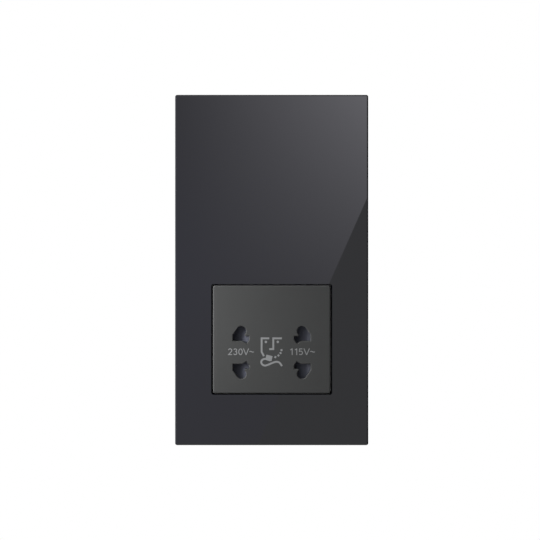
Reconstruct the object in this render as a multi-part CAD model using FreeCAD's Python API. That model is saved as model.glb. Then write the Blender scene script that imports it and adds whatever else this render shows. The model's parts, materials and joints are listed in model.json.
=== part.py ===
import FreeCAD, Part
import math
import os
from FreeCAD import Vector

# Dual-voltage shaver socket for a wall box. Millimetres. X to the right seen from the front,
# Z up, the front faces -Y, the wall's surface is y = 0 and the wall box lies behind it.
# The origin is the middle of the front plate, on the wall's surface.

# Largest stray length taken as nothing when edges are picked
tiny = 1e-4

# Glass front plate
plate_width = 86.0
plate_height = 156.0
plate_corner = 0.9
glass_thickness = 4.0
glass_bevel = 0.6
window_width = 53.6
window_height = 49.0
window_corner = 0.9
window_margin = 22.6
window_bevel = 0.15

# Moulded carrier behind the glass, with foam tape between
carrier_inset = 1.0
carrier_depth = 6.5
carrier_panel = 1.6
rim_wall = 1.8
pad_thickness = 0.5
pad_width = 6.0
pad_gap = 1.0
collar_wall = 1.2
collar_depth = 1.6
collar_gap = 0.5
rib_wall = 1.0
rib_height = 1.4
rib_columns = 4
rib_rows = 2
clip_shares = (-0.71, 0.11, 0.77)
clip_width = 6.4
clip_wall = 1.2
clip_barb = 1.0
clip_gap = 0.3

# Pressed steel support frame
frame_sheet = 1.2
frame_relief = 0.3
frame_side_gap = 2.2
frame_corner = 3.0
tab_width = 10.0
tab_height = 3.4
tab_corner = 1.2
tab_slot_height = 1.9
tab_slot_shift = 0.3
end_slot_half_width = 14.0
end_slot_half_height = 2.5
end_slot_inset = 6.5
fixing_inset = 17.7
fixing_hole_r = 2.1
screw_thread_r = 1.75
screw_neck_r = 1.5
screw_neck_end = 1.8
screw_head_r = 3.4
screw_head_height = 2.2
screw_length = 34.0
screw_tip = 0.6
retainer_thickness = 0.8
retainer_half = 3.3
fit_gap = 0.05
slot_share = 0.14

# Earth tongue, folded back from the frame
tongue_width = 9.0
tongue_length = 11.0
tongue_inset = 9.5
tongue_rise = 0.3
tongue_corner = 2.0
tongue_slot_gap = 0.8
earth_share = 0.55
earth_screw_r = 1.75
earth_screw_length = 3.8
earth_head_r = 3.2
earth_head_height = 2.0
earth_clamp_half = 3.6
earth_clamp_thickness = 1.0

# Socket module
fascia_side_gap = 0.74
fascia_end_gap = 0.55
fascia_proud = 0.4
fascia_wall = 2.0
fascia_bevel = 0.35
fascia_corner = 0.9
skirt_wall = 1.2
flange_thickness = 1.6
flange_gap = 0.15
well_depth = 5.0
well_wall = 1.1
well_bevel = 0.3
pair_inset = 13.3
pair_rise = 18.7
leg_width = 6.0
leg_wall = 1.2
leg_shift = 2.5
leg_barb = 1.0
leg_tip = 0.8
leg_hook_gap = 0.15
leg_slope = 0.35
leg_slot_gap = 0.25
module_gap = 0.25
base_wall = 1.6
base_front_drop = 0.3
base_depth = 12.0
pocket_inset = 6.2
pocket_half_width = 5.6
pocket_half_height = 2.4

# Outline of one pin aperture, from the middle of its pair, with the pins in a column
lobe_rise = 9.55
lobe_r = 2.15
lobe_end_angle = -48.0
cheek_angle = 55.0
cheek_x = 3.8
inner_rise = 5.15
knee_x = 0.4
slot_angle = 30.0
slot_run = 2.2
shoulder_x = 3.45
shoulder_rise = 5.65
notch_x = 1.6
notch_rise = 7.25

# Sliding shutters and their springs
shutter_gap = 0.3
shutter_half_width = 4.1
shutter_half_height = 12.5
shutter_travel = 7.5
shutter_bridge = 1.3
trough_half = 2.2
middle_half = 3.6
ramp_top_x = 2.6
ramp_fall = 3.2
arm_height = 5.8
arm_tail = 1.2
arm_thickness = 2.9
wedge_ratio = 0.1
travel_end_gap = 0.35
sweep_gap = 0.4
spring_r = 1.3
spring_wire_r = 0.22
spring_turns = 6
spring_steps = 7
spring_sides = 5
spring_gap = 0.1
post_width = 1.3
post_inset = 0.5
rail_wall = 1.2

# Plug-operated switches
plunger_x = 3.0
plunger_half = 0.8
plunger_gap = 0.08
plunger_fit = 0.06
plunger_clear = 0.4
plunger_stem = 5.0
plunger_bevel = 0.25
bore_share = 0.7
switch_length = 12.8
switch_width = 5.8
switch_height = 6.4
switch_rise = 3.2
switch_corner = 0.4
switch_fit = 0.15
pin_pitch = 5.08
pin_half_width = 0.45
pin_half_thickness = 0.25
pin_stub = 0.9
pin_hole_gap = 0.15

# Contacts
contact_strip = 0.5
contact_width = 6.4
chamber_half_width = 4.6
chamber_low = 3.3
chamber_high = 12.2
passage_half = 4.0
passage_step = 0.4
contact_tail = 2.0
jaw_side_gap = 0.5
jaw_back_gap = 1.9
jaw_lip_gap = 0.9
jaw_throat = 1.3
jaw_belly = 0.4
throat_share = 0.28
belly_share = 0.6
strap_half = 2.0
strap_slot_gap = 0.6
strap_slot_depth = 3.2

# Circuit board and what stands on it
board_thickness = 1.6
board_side_gap = 0.4
board_end_gap = 0.2
board_corner = 1.0
board_screw_r = 1.2
board_screw_inset = 3.6
board_screw_gap = 0.2
board_screw_length = 7.0
board_head_half = 2.0
board_head_height = 1.4
board_pilot_depth = 6.5
cutout_length = 10.0
cutout_width = 6.0
cutout_height = 4.0
cutout_corner = 0.8
cutout_inset = 9.0

# Mains terminals
block_side_gap = 8.7
block_height = 14.0
block_depth = 21.0
block_rise = 10.4
block_corner = 0.8
block_lip = 1.2
block_recess = 1.3
block_gap = 0.4
barrier_half = 0.6
barrier_depth = 4.0
terminal_pitch = 14.0
terminal_width = 8.0
terminal_height = 9.0
terminal_depth = 9.0
terminal_cover = 2.0
terminal_corner = 0.6
terminal_tail_half = 0.5
terminal_tail_reach = 1.2
terminal_gap = 0.1
wire_half = 2.1
wire_entry_gap = 0.5
terminal_screw_r = 1.75
driver_gap = 0.7
terminal_slot_half = 0.35
terminal_slot_depth = 1.0
terminal_sink = 0.8

# Transformer
core_share = 0.7965
core_side_gap = 4.0
core_stack = 20.0
core_hole_gap = 0.25
core_head_height = 2.2
bolt_end_gap = 1.0
coil_side_gap = 0.5
former_wall = 0.9
former_flange = 1.2
former_gap = 0.2
flange_side_gap = 0.3
former_split = 0.54
shelf_gap = 1.2
shelf_drop_share = 0.27
winding_gap = 0.5
winding_corner = 0.6
tape_thickness = 0.35
tag_width = 1.2
tag_thickness = 0.6
tag_length_share = 0.33
tag_setback_share = 0.51
lead_r = 0.65
lead_bend = 2.2
lead_sides = 6
bend_steps = 2
lead_shares = (-0.68, -0.4, 0.11, 0.4, 0.68)
lead_setback = 4.6
lead_rise_share = 0.4
lead_inset = 2.6
sheet_thickness = 0.5
sheet_gap = 0.4
coil_front_gap = 0.8
coil_back_gap = 1.0

# Rear housing
housing_wall = 2.0
housing_corner = 3.0
housing_bevel = 1.0
partition_gap = 1.9
low_gap = 1.4
fixing_clearance = 6.3
pillar_gap = 1.3
socket_zone_depth = 22.0
boss_half = 2.5
core_boss_share = 0.8
pilot_depth = 13.0
housing_screw_r = 1.1
housing_screw_length = 11.0
housing_head_half = 2.0
housing_head_height = 1.6
housing_hole_gap = 0.25
vent_count = 7
vent_share = 0.4
vent_height = 13.0
back_rib_count = 5
back_rib_wall = 1.4
back_rib_height = 1.2
back_rib_gap = 2.5
notch_side_gap = 3.0
notch_half_depth = 2.3

# Levels along Y
carrier_front = -carrier_depth
panel_back = carrier_front + carrier_panel
glass_back = carrier_front - pad_thickness
glass_front = glass_back - glass_thickness
fascia_front = glass_front - fascia_proud
frame_back = -frame_relief
frame_front = frame_back - frame_sheet
flange_front = frame_front - flange_thickness
well_back = fascia_front + well_depth
shutter_front = well_back + shutter_gap
base_front = frame_front - base_front_drop
base_floor = base_front + base_wall
shutter_back = base_front - shutter_gap
trough_front = shutter_back - 2 * (spring_r + spring_wire_r + spring_gap)
arm_thin_back = shutter_front + arm_thickness
base_back = base_front + base_depth
board_back = base_back + board_thickness
contact_back = base_back - jaw_back_gap
tail_end = board_back + pin_stub
lead_y = board_back + lead_setback
tab_slot_y = frame_front - tab_height / 2 + tab_slot_shift
terminal_y = board_back + block_depth - terminal_depth / 2 - terminal_cover
sheet_back = frame_back + sheet_thickness
socket_floor = socket_zone_depth - housing_wall

# Places across the front
module_z = window_height / 2 + window_margin - plate_height / 2
pair_x = window_width / 2 - pair_inset
pair_z = module_z - window_height / 2 + pair_rise
carrier_half_w = plate_width / 2 - carrier_inset
carrier_half_h = plate_height / 2 - carrier_inset
frame_half_w = carrier_half_w - rim_wall - frame_side_gap
frame_half_h = carrier_half_h - rim_wall - frame_side_gap
fascia_half_w = window_width / 2 - fascia_side_gap
fascia_half_h = window_height / 2 - fascia_end_gap
body_half_w = fascia_half_w - skirt_wall - module_gap
body_half_h = fascia_half_h - skirt_wall - module_gap
module_top = module_z + body_half_h
leg_x = pair_x + leg_shift
fixing_z = plate_height / 2 - fixing_inset
tongue_z = tongue_rise - fixing_z
arm_low = pair_z + shutter_half_height
switch_z = arm_low + switch_rise
spring_solid = spring_turns * 2 * spring_wire_r
post_x = shutter_bridge - shutter_half_width + shutter_travel + spring_solid + spring_gap + post_width / 2
sweep_x = pair_x + shutter_half_width + shutter_travel + travel_end_gap
sweep_low = pair_z - shutter_half_height - sweep_gap
sweep_high = arm_low + arm_height + sweep_gap
chamber_rise = (chamber_low + chamber_high) / 2
terminal_z = module_z - body_half_h + block_rise
block_half_w = body_half_w - block_side_gap
lead_board_z = module_top - lead_inset

# The transformer takes the room above the module; its laminations keep the usual E and I proportions
inner_half_w = body_half_w + pillar_gap + 2 * boss_half
housing_half_w = inner_half_w + housing_wall
tongue_offset = inner_half_w - tongue_inset
housing_top = fixing_z - fixing_clearance
housing_low = module_z - body_half_h - low_gap - housing_wall
zone_low = module_top + partition_gap + housing_wall
zone_high = housing_top - housing_wall
core_width = min((zone_high - zone_low) * core_share * 6 / 5, 2 * (inner_half_w - core_side_gap))
core_height = core_width * 5 / 6
core_leg = core_width / 3
side_leg = core_leg / 2
core_bolt_inset = core_width / 12
core_bolt_r = core_width / 34
core_head_half = core_width / 20
core_boss_half = core_bolt_inset * core_boss_share
core_z = (zone_low + zone_high) / 2
core_low = core_z - core_height / 2
vent_pitch = core_height / (vent_count + 2)
vent_width = vent_pitch * vent_share
coil_half_depth = core_stack / 2 + side_leg - coil_side_gap
coil_y = sheet_back + coil_front_gap + coil_half_depth
stack_front = coil_y - core_stack / 2
stack_back = coil_y + core_stack / 2
housing_inner_depth = coil_y + coil_half_depth + coil_back_gap
housing_depth = housing_inner_depth + housing_wall
tube_x = core_leg / 2 + former_gap + former_wall
tube_y = core_stack / 2 + former_gap + former_wall
flange_x = core_leg / 2 + side_leg - flange_side_gap
coil_low = core_low + side_leg + former_gap
coil_high = core_z + core_height / 2 - side_leg - former_gap
coil_middle = coil_low + (coil_high - coil_low) * former_split
winding_room = min(flange_x - tube_x, coil_half_depth - tube_y) - winding_gap - tape_thickness
primary_levels = (coil_low + former_flange, coil_middle)
secondary_levels = (coil_middle + former_flange, coil_high - former_flange)
lead_places = [share * flange_x for share in lead_shares]
shelf_low = coil_low - side_leg * shelf_drop_share
tag_low = shelf_low - side_leg * tag_length_share
tag_y = stack_back + side_leg * tag_setback_share
lead_low = zone_low + (core_low - zone_low) * lead_rise_share
sides = {"230": -1, "115": 1}


def box(x0, x1, y0, y1, z0, z1):
    return Part.makeBox(x1 - x0, y1 - y0, z1 - z0, Vector(x0, y0, z0))


def centred_box(x, z, half_w, half_h, y0, y1):
    return box(x - half_w, x + half_w, y0, y1, z - half_h, z + half_h)


def rod(x, z, radius, y0, y1):
    return Part.makeCylinder(radius, y1 - y0, Vector(x, y0, z), Vector(0, 1, 0))


def edges_along_y(shape):
    return [edge for edge in shape.Edges if edge.BoundBox.XLength + edge.BoundBox.ZLength < tiny]


def edges_along_z(shape):
    return [edge for edge in shape.Edges if edge.BoundBox.XLength + edge.BoundBox.YLength < tiny]


def edges_at(shape, y):
    return [edge for edge in shape.Edges
            if abs(edge.BoundBox.YMin - y) < tiny and abs(edge.BoundBox.YMax - y) < tiny]


def rounded_slab(x, z, half_w, half_h, y0, y1, radius):
    slab = centred_box(x, z, half_w, half_h, y0, y1)
    return slab.makeFillet(radius, edges_along_y(slab))


def mirror_x(shape):
    return shape.mirror(Vector(0, 0, 0), Vector(1, 0, 0))


def mirror_z(shape, z):
    return shape.mirror(Vector(0, 0, z), Vector(0, 0, 1))


def fused(shapes):
    return shapes[0].multiFuse(shapes[1:]).removeSplitter()


def extruded(points, along):
    return Part.Face(Part.makePolygon(points + [points[0]])).extrude(along)


def bent_strip(points, thickness, x0, x1):
    path = Part.makePolygon([Vector(x0, y, z) for y, z in points])
    return path.makeOffset2D(thickness, 2, True, True, False).extrude(Vector(x1 - x0, 0, 0))


def swept_wire(points, radius, sides, across):
    along = (points[1] - points[0]).normalize()
    side = along.cross(across).normalize()
    up = along.cross(side)
    ring = []
    for i in range(sides):
        turn = 2 * math.pi * i / sides
        ring.append(points[0] + (side * math.cos(turn) + up * math.sin(turn)) * radius)
    sweep = Part.BRepOffsetAPI.MakePipeShell(Part.makePolygon(points))
    sweep.setFrenetMode(False)
    sweep.setTransitionMode(1)
    sweep.add(Part.makePolygon(ring + [ring[0]]))
    sweep.build()
    sweep.makeSolid()
    return sweep.shape()


def rounded_path(corners, bend):
    path = [corners[0]]
    for before, corner, after in zip(corners, corners[1:], corners[2:]):
        back = (before - corner).normalize()
        ahead = (after - corner).normalize()
        centre = corner + (back + ahead) * bend
        for i in range(bend_steps + 1):
            turn = math.pi / 2 * i / bend_steps
            path.append(centre - ahead * bend * math.cos(turn) - back * bend * math.sin(turn))
    return path + [corners[-1]]


def hexagon(x, z, half_flats, y0, y1):
    corners = []
    for i in range(6):
        turn = math.pi / 3 * i
        corners.append(Vector(x + math.cos(turn) * half_flats / math.cos(math.pi / 6), y0,
                              z + math.sin(turn) * half_flats / math.cos(math.pi / 6)))
    return extruded(corners, Vector(0, y1 - y0, 0))


def hex_screw(x, z, head_y, head_half, head_height, shank_r, tip_y):
    head = hexagon(x, z, head_half, head_y - head_height, head_y)
    return head.fuse(rod(x, z, shank_r, head_y, tip_y))


def pan_screw(x, z, head_y, head_r, head_height, shank_r, tip_y):
    head = rod(x, z, head_r, head_y - head_height, head_y)
    return head.fuse(rod(x, z, shank_r, head_y, tip_y))


def slotted(screw, x, z, head_y, head_r, head_height):
    top = head_y - head_height
    return screw.cut(centred_box(x, z, head_r, head_r * slot_share, top, top + head_height / 2))


# Glass plate and carrier

def make_glass_plate():
    plate = rounded_slab(0, 0, plate_width / 2, plate_height / 2, glass_front, glass_back, plate_corner)
    plate = plate.makeChamfer(glass_bevel, edges_at(plate, glass_front))
    opening = rounded_slab(0, module_z, window_width / 2, window_height / 2, glass_front, glass_back,
                           window_corner)
    plate = plate.cut(opening)
    lip = [edge for edge in edges_at(plate, glass_front)
           if abs(edge.BoundBox.Center.z - module_z) < window_height / 2 + tiny
           and abs(edge.BoundBox.Center.x) < window_width / 2 + tiny]
    return plate.makeChamfer(window_bevel, lip)


def make_bonding_pads():
    side_x = carrier_half_w - pad_gap - pad_width / 2
    end_z = carrier_half_h - pad_gap - pad_width / 2
    middle_z = (module_z + window_height / 2 + end_z) / 3
    reach = side_x - pad_width / 2 - pad_gap
    side = centred_box(side_x, 0, pad_width / 2, carrier_half_h - pad_gap, glass_back, carrier_front)
    top = centred_box(0, end_z, reach, pad_width / 2, glass_back, carrier_front)
    middle = centred_box(0, middle_z, reach, pad_width / 2, glass_back, carrier_front)
    return Part.makeCompound([side, mirror_x(side), top, mirror_z(top, 0), middle])


def clip_finger(z):
    inner = frame_half_w + clip_gap
    low = z - clip_width / 2
    finger = box(inner, inner + clip_wall, panel_back, frame_front - clip_gap, low, low + clip_width)
    hook_y = tab_slot_y - tab_slot_height / 2 + clip_gap
    slope_y = tab_slot_y + tab_slot_height / 2 - clip_gap
    barb = extruded([Vector(inner, hook_y, low), Vector(inner - clip_barb - clip_gap, hook_y, low),
                     Vector(inner, slope_y, low)], Vector(0, 0, clip_width))
    return finger.fuse(barb)


def make_plate_carrier():
    inner_w = carrier_half_w - rim_wall
    inner_h = carrier_half_h - rim_wall
    shell = rounded_slab(0, 0, carrier_half_w, carrier_half_h, carrier_front, 0, plate_corner)
    shell = shell.cut(centred_box(0, 0, inner_w, inner_h, panel_back, 0))
    collar_w = fascia_half_w + collar_gap + collar_wall
    collar_h = fascia_half_h + collar_gap + collar_wall
    collar_back = panel_back + collar_depth
    parts = [shell, centred_box(0, module_z, collar_w, collar_h, panel_back, collar_back)]
    rib_back = panel_back + rib_height
    low = module_z + collar_h
    for i in range(rib_columns):
        x = inner_w * (2 * (i + 1) / (rib_columns + 1) - 1)
        parts.append(box(x - rib_wall / 2, x + rib_wall / 2, panel_back, rib_back, low, inner_h))
    for i in range(rib_rows):
        z = low + (inner_h - low) * (i + 1) / (rib_rows + 1)
        parts.append(centred_box(0, z, inner_w, rib_wall / 2, panel_back, rib_back))
    for share in clip_shares:
        finger = clip_finger(share * frame_half_h)
        parts.append(finger)
        parts.append(mirror_x(finger))
    window = rounded_slab(0, module_z, collar_w - collar_wall, collar_h - collar_wall, carrier_front,
                          collar_back, fascia_corner)
    return fused(parts).cut(window)


# Support frame and its fixings

def side_tab(z):
    top = frame_front - tab_height
    inner = frame_half_w - frame_sheet
    tab = box(inner, frame_half_w, top, frame_front, z - tab_width / 2, z + tab_width / 2)
    tab = tab.makeChamfer(tab_corner, [edge for edge in edges_at(tab, top) if edge.BoundBox.XLength > tiny])
    slot = centred_box(0, z, plate_width / 2, clip_width / 2 + clip_gap, tab_slot_y - tab_slot_height / 2,
                       tab_slot_y + tab_slot_height / 2)
    return tab.cut(slot)


def make_tongue():
    tongue = box(tongue_offset - tongue_width / 2, tongue_offset + tongue_width / 2, frame_back,
                 tongue_length, tongue_z, tongue_z + frame_sheet)
    ends = [edge for edge in edges_at(tongue, tongue_length) if edge.BoundBox.ZLength > tiny]
    return tongue.makeChamfer(tongue_corner, ends)


def make_support_frame():
    parts = [rounded_slab(0, 0, frame_half_w, frame_half_h, frame_front, frame_back, frame_corner)]
    for share in clip_shares:
        tab = side_tab(share * frame_half_h)
        parts.append(tab)
        parts.append(mirror_x(tab))
    parts.append(make_tongue())
    cuts = [centred_box(0, module_z, body_half_w + module_gap, body_half_h + module_gap, frame_front,
                        frame_back)]
    for sign in (-1, 1):
        cuts.append(rod(0, sign * fixing_z, fixing_hole_r, frame_front, frame_back))
        cuts.append(centred_box(0, sign * (frame_half_h - end_slot_inset), end_slot_half_width,
                                end_slot_half_height, frame_front, frame_back))
    cuts.append(centred_box(tongue_offset, tongue_z - (tongue_length + tongue_slot_gap) / 2,
                            tongue_width / 2 + tongue_slot_gap, tongue_length / 2, frame_front, frame_back))
    cuts.append(Part.makeCylinder(earth_screw_r + fit_gap, frame_sheet,
                                  Vector(tongue_offset, tongue_length * earth_share, tongue_z)))
    for x, z in housing_screw_places():
        cuts.append(rod(x, z, housing_screw_r + housing_hole_gap, frame_front, frame_back))
    return fused(parts).cut(Part.makeCompound(cuts))


def make_fixing_screws():
    screws = []
    for z in (-fixing_z, fixing_z):
        screw = pan_screw(0, z, frame_front, screw_head_r, screw_head_height, screw_neck_r, screw_neck_end)
        screw = slotted(screw, 0, z, frame_front, screw_head_r, screw_head_height)
        tip = screw_neck_end + screw_length
        thread = rod(0, z, screw_thread_r, screw_neck_end, tip)
        screws.append(screw.fuse(thread.makeChamfer(screw_tip, edges_at(thread, tip))))
    return Part.makeCompound(screws)


def make_screw_retainers():
    washers = []
    for z in (-fixing_z, fixing_z):
        back = frame_back + retainer_thickness
        washer = centred_box(0, z, retainer_half, retainer_half, frame_back, back)
        washers.append(washer.cut(hexagon(0, z, screw_neck_r + fit_gap, frame_back, back)))
    return Part.makeCompound(washers)


def make_earth_clamp():
    y = tongue_length * earth_share
    low = tongue_z - earth_clamp_thickness
    clamp = box(tongue_offset - earth_clamp_half, tongue_offset + earth_clamp_half,
                y - earth_clamp_half, y + earth_clamp_half, low, tongue_z)
    hole = Part.makeCylinder(earth_screw_r + fit_gap, earth_clamp_thickness, Vector(tongue_offset, y, low))
    return clamp.cut(hole)


def make_earth_screw():
    screw = pan_screw(tongue_offset, 0, 0, earth_head_r, earth_head_height, earth_screw_r, earth_screw_length)
    screw = slotted(screw, tongue_offset, 0, 0, earth_head_r, earth_head_height)
    screw.rotate(Vector(tongue_offset, 0, 0), Vector(1, 0, 0), 90)
    screw.translate(Vector(0, tongue_length * earth_share, tongue_z - earth_clamp_thickness))
    return screw


# Socket module

def aperture_face():
    lean = math.radians(cheek_angle)
    centre = Vector(0, 0, lobe_rise)
    tangent = centre + Vector(-math.sin(lean), 0, math.cos(lean)) * lobe_r
    run = (tangent.x + cheek_x) / math.cos(lean)
    cheek = Vector(-cheek_x, 0, tangent.z - run * math.sin(lean))
    slot = math.radians(slot_angle)
    tip = Vector(knee_x + slot_run * math.cos(slot), 0, inner_rise - slot_run * math.sin(slot))
    end = math.radians(lobe_end_angle)
    top = math.radians((lobe_end_angle + 90 + cheek_angle) / 2)
    lobe_end = centre + Vector(math.cos(end), 0, math.sin(end)) * lobe_r
    lobe_mid = centre + Vector(math.cos(top), 0, math.sin(top)) * lobe_r
    corners = [tangent, cheek, Vector(-cheek_x, 0, inner_rise), Vector(knee_x, 0, inner_rise), tip,
               Vector(shoulder_x, 0, shoulder_rise), Vector(shoulder_x, 0, notch_rise),
               Vector(notch_x, 0, notch_rise), lobe_end]
    edges = [Part.LineSegment(a, b).toShape() for a, b in zip(corners, corners[1:])]
    edges.append(Part.Arc(lobe_end, lobe_mid, tangent).toShape())
    return Part.Face(Part.Wire(edges))


def four_apertures(shape):
    left_upper = shape.copy()
    left_upper.translate(Vector(-pair_x, 0, pair_z))
    left_lower = mirror_z(left_upper, pair_z)
    return [left_upper, left_lower, mirror_x(left_upper), mirror_x(left_lower)]


def prism(face, y0, y1):
    solid = face.extrude(Vector(0, y1 - y0, 0))
    solid.translate(Vector(0, y0, 0))
    return solid


def aperture_bevel(outline):
    mouth = outline.makeOffset2D(well_bevel, 2).OuterWire
    throat = outline.OuterWire.copy()
    mouth.translate(Vector(0, fascia_front, 0))
    throat.translate(Vector(0, fascia_front + well_bevel, 0))
    return Part.makeLoft([mouth, throat], True, True)


def snap_leg(x):
    outer = module_z + body_half_h
    leg = box(x - leg_width / 2, x + leg_width / 2, fascia_front + fascia_wall,
              frame_back + leg_barb + leg_tip, outer - leg_wall, outer)
    hook_y = frame_back + leg_hook_gap
    barb = extruded([Vector(x - leg_width / 2, hook_y, outer - tiny),
                     Vector(x - leg_width / 2, hook_y, outer + leg_barb),
                     Vector(x - leg_width / 2, hook_y + leg_barb + leg_slope, outer - tiny)],
                    Vector(leg_width, 0, 0))
    return leg.fuse(barb)


def make_socket_fascia():
    shell = rounded_slab(0, module_z, fascia_half_w, fascia_half_h, fascia_front, flange_front,
                         fascia_corner)
    shell = shell.makeChamfer(fascia_bevel, edges_at(shell, fascia_front))
    shell = shell.cut(centred_box(0, module_z, fascia_half_w - skirt_wall, fascia_half_h - skirt_wall,
                                  fascia_front + fascia_wall, flange_front))
    parts = [shell]
    outline = aperture_face()
    wall = outline.makeOffset2D(well_wall, 2)
    for face in four_apertures(wall):
        parts.append(prism(face, fascia_front + fascia_wall, well_back))
    for x in (-leg_x, leg_x):
        leg = snap_leg(x)
        parts.append(leg)
        parts.append(mirror_z(leg, module_z))
    cuts = [prism(face, fascia_front, well_back) for face in four_apertures(outline)]
    cuts += four_apertures(aperture_bevel(outline))
    fascia = fused(parts)
    for cut in cuts:
        fascia = fascia.cut(cut)
    return fascia.cut(box(sweep_x - skirt_wall, sweep_x, well_back, flange_front, sweep_low, sweep_high))


def base_openings(x):
    cuts = [centred_box(x, switch_z, switch_length / 2 + switch_fit, switch_width / 2 + switch_fit,
                        base_floor, base_back)]
    clear = plunger_half + plunger_clear
    cuts.append(centred_box(x + plunger_x, switch_z, clear, clear, base_front, base_floor))
    cuts.append(centred_box(x, module_top - pocket_inset, pocket_half_width, pocket_half_height,
                            base_floor, base_back))
    for up in (-1, 1):
        middle = pair_z + up * chamber_rise
        half = chamber_high - chamber_rise
        cuts.append(centred_box(x, middle, passage_half, half - passage_step, base_front, base_floor))
        cuts.append(centred_box(x, middle, chamber_half_width, half, base_floor, base_back))
    return cuts


def make_socket_base():
    body = centred_box(0, module_z, body_half_w, body_half_h, base_front, base_back)
    flange = rounded_slab(0, module_z, fascia_half_w - flange_gap, fascia_half_h - flange_gap,
                          flange_front, frame_front, fascia_corner)
    flange = flange.cut(centred_box(0, module_z, body_half_w, body_half_h, flange_front, base_front))
    parts = [body, flange]
    cuts = [centred_box(0, pair_z - chamber_rise, pair_x, strap_half + strap_slot_gap,
                        base_back - strap_slot_depth, base_back)]
    rail_top = pair_z - shutter_half_height - module_gap
    for sign in sides.values():
        x = sign * pair_x
        parts.append(centred_box(x + post_x, pair_z, post_width / 2, trough_half - post_inset,
                                 trough_front + 2 * spring_gap, base_front))
        parts.append(box(x - shutter_half_width, x + shutter_half_width, shutter_front, base_front,
                         rail_top - rail_wall, rail_top))
        cuts += base_openings(x)
        for up in (-1, 1):
            z = module_z + up * (body_half_h - leg_wall / 2)
            cuts.append(centred_box(sign * leg_x, z, leg_width / 2 + leg_slot_gap,
                                    leg_wall / 2 + leg_slot_gap, flange_front, base_back))
    for x, z in board_screw_places():
        cuts.append(hexagon(x, z, board_screw_r + fit_gap, base_back - board_pilot_depth, base_back))
    cuts.append(box(body_half_w, fascia_half_w, flange_front, base_front, sweep_low, sweep_high))
    return fused(parts).cut(Part.makeCompound(cuts))


def make_shutter(sign):
    x = sign * pair_x
    left = x - shutter_half_width
    right = x + shutter_half_width
    shutter = box(left, right, shutter_front, shutter_back, pair_z - shutter_half_height, arm_low)
    for low in (middle_half, -shutter_half_height):
        z = pair_z + low
        ramp = extruded([Vector(left, shutter_front, z), Vector(x + ramp_top_x, shutter_front, z),
                         Vector(left, shutter_front + ramp_fall, z)],
                        Vector(0, 0, shutter_half_height - middle_half))
        shutter = shutter.cut(ramp)
    trough = box(left + shutter_bridge, right, trough_front, shutter_back, pair_z - trough_half,
                 pair_z + trough_half)
    tail_x = left - arm_tail
    thick_back = arm_thin_back + wedge_ratio * (right - tail_x)
    arm = extruded([Vector(tail_x, shutter_front, arm_low), Vector(right, shutter_front, arm_low),
                    Vector(right, arm_thin_back, arm_low), Vector(tail_x, thick_back, arm_low)],
                   Vector(0, 0, arm_height))
    return shutter.cut(trough).fuse(arm)


def make_shutter_spring(sign):
    x = sign * pair_x
    start = x - shutter_half_width + shutter_bridge + spring_wire_r + spring_gap
    end = x + post_x - post_width / 2 - spring_wire_r - spring_gap
    axis_y = (trough_front + shutter_back) / 2
    count = spring_turns * spring_steps
    points = []
    for i in range(count + 1):
        turn = 2 * math.pi * i / spring_steps
        points.append(Vector(start + (end - start) * i / count, axis_y + spring_r * math.cos(turn),
                             pair_z + spring_r * math.sin(turn)))
    return swept_wire(points, spring_wire_r, spring_sides, Vector(1, 0, 0))


def jaw_shapes(x, up):
    low = chamber_low + jaw_side_gap
    high = chamber_high - jaw_side_gap
    lip = base_floor + jaw_lip_gap
    throat = lip + (contact_back - lip) * throat_share
    belly = lip + (contact_back - lip) * belly_share
    lower = [(lip, low), (throat, low + jaw_throat), (belly, low + jaw_belly),
             (contact_back, low + jaw_belly)]
    upper = [(y, low + high - rise) for y, rise in reversed(lower)]
    points = [(y, pair_z + up * rise) for y, rise in lower + upper]
    jaw = bent_strip(points, contact_strip * up, x - contact_width / 2, x + contact_width / 2)
    tail = centred_box(x, pair_z + up * (low + high) / 2, pin_half_thickness, contact_tail / 2,
                       contact_back, tail_end)
    return [jaw, tail]


def make_contact(sign):
    return fused(jaw_shapes(sign * pair_x, 1))


def make_contact_common():
    strap = centred_box(0, pair_z - chamber_rise, pair_x, strap_half, contact_back,
                        contact_back + contact_strip)
    return fused(jaw_shapes(-pair_x, -1) + jaw_shapes(pair_x, -1) + [strap])


def make_switch_body(sign):
    x = sign * pair_x
    back = base_floor + switch_height
    body = centred_box(x, switch_z, switch_length / 2, switch_width / 2, base_floor, back)
    body = body.makeChamfer(switch_corner, edges_along_y(body))
    bore = plunger_half + plunger_fit
    parts = [body.cut(centred_box(x + plunger_x, switch_z, bore, bore, base_floor,
                                  base_floor + switch_height * bore_share))]
    for step in (-1, 0, 1):
        parts.append(centred_box(x + step * pin_pitch, switch_z, pin_half_width, pin_half_thickness,
                                 back, tail_end))
    return fused(parts)


def make_switch_plunger(sign):
    from_right = shutter_half_width - plunger_x + plunger_half
    tip = arm_thin_back + wedge_ratio * from_right + plunger_gap
    stem = centred_box(sign * pair_x + plunger_x, switch_z, plunger_half, plunger_half, tip,
                       tip + plunger_stem)
    return stem.makeChamfer(plunger_bevel, edges_at(stem, tip))


def board_screw_places():
    x = body_half_w - board_screw_inset
    z = body_half_h - board_screw_inset
    return [(-x, module_z + z), (x, module_z - z)]


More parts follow.
